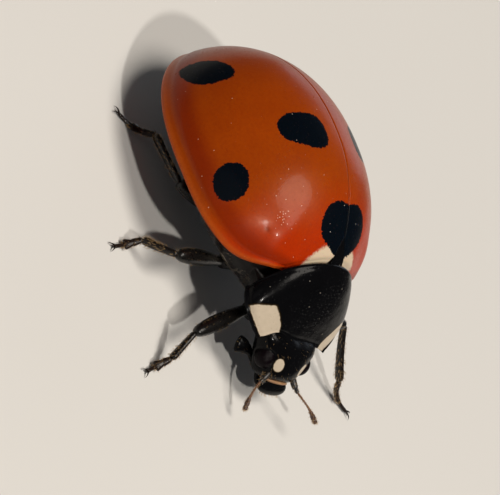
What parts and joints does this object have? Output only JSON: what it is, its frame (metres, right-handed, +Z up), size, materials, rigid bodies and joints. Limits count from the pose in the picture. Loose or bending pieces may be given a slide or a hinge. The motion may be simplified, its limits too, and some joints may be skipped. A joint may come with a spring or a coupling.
{
  "type": "ladybird beetle",
  "caption": "Life-size still model of a seven-spot ladybird standing on its feet: domed red wing cases with black spots, black neck shield with white corners, head, feelers and legs.",
  "frame": {"origin": "on the floor below the middle of the box round the whole animal", "axes": "+Z up, head towards -Y, the animal's right side towards -X"},
  "size_m": [0.0074, 0.0078, 0.0035],
  "materials": {
    "wing_case_red": "glossy hard shell, orange red with black spots and white base marks",
    "shell_black": "glossy black shell with fine pits; the neck shield has white front corners",
    "eye_dark": "smooth dark facetted eye",
    "feeler_brown": "reddish brown with short fine hairs",
    "underside_black": "satin black plates with short pale hairs"
  },
  "bodies": {
    "root": {"abdomen": "underside_black", "antenna_left_club": "feeler_brown", "antenna_left_scape": "shell_black", "antenna_left_stalk": "feeler_brown", "antenna_right_club": "feeler_brown", "antenna_right_scape": "shell_black", "antenna_right_stalk": "feeler_brown", "coxa_front_left": "shell_black", "coxa_front_right": "shell_black", "coxa_hind_left": "shell_black", "coxa_hind_right": "shell_black", "coxa_middle_left": "shell_black", "coxa_middle_right": "shell_black", "elytron_left": "wing_case_red", "elytron_right": "wing_case_red", "eye_left": "eye_dark", "eye_right": "eye_dark", "femur_front_left": "shell_black", "femur_front_right": "shell_black", "femur_hind_left": "shell_black", "femur_hind_right": "shell_black", "femur_middle_left": "shell_black", "femur_middle_right": "shell_black", "head": "shell_black", "labrum": "shell_black", "mandible_left": "shell_black", "mandible_right": "shell_black", "palp_left_stalk": "shell_black", "palp_left_tip": "shell_black", "palp_right_stalk": "shell_black", "palp_right_tip": "shell_black", "pronotum": "shell_black", "prothorax": "underside_black", "scutellum": "shell_black", "tarsus_front_left": "shell_black", "tarsus_front_right": "shell_black", "tarsus_hind_left": "shell_black", "tarsus_hind_right": "shell_black", "tarsus_middle_left": "shell_black", "tarsus_middle_right": "shell_black", "thorax": "underside_black", "tibia_front_left": "shell_black", "tibia_front_right": "shell_black", "tibia_hind_left": "shell_black", "tibia_hind_right": "shell_black", "tibia_middle_left": "shell_black", "tibia_middle_right": "shell_black"}
  },
  "joints": []
}
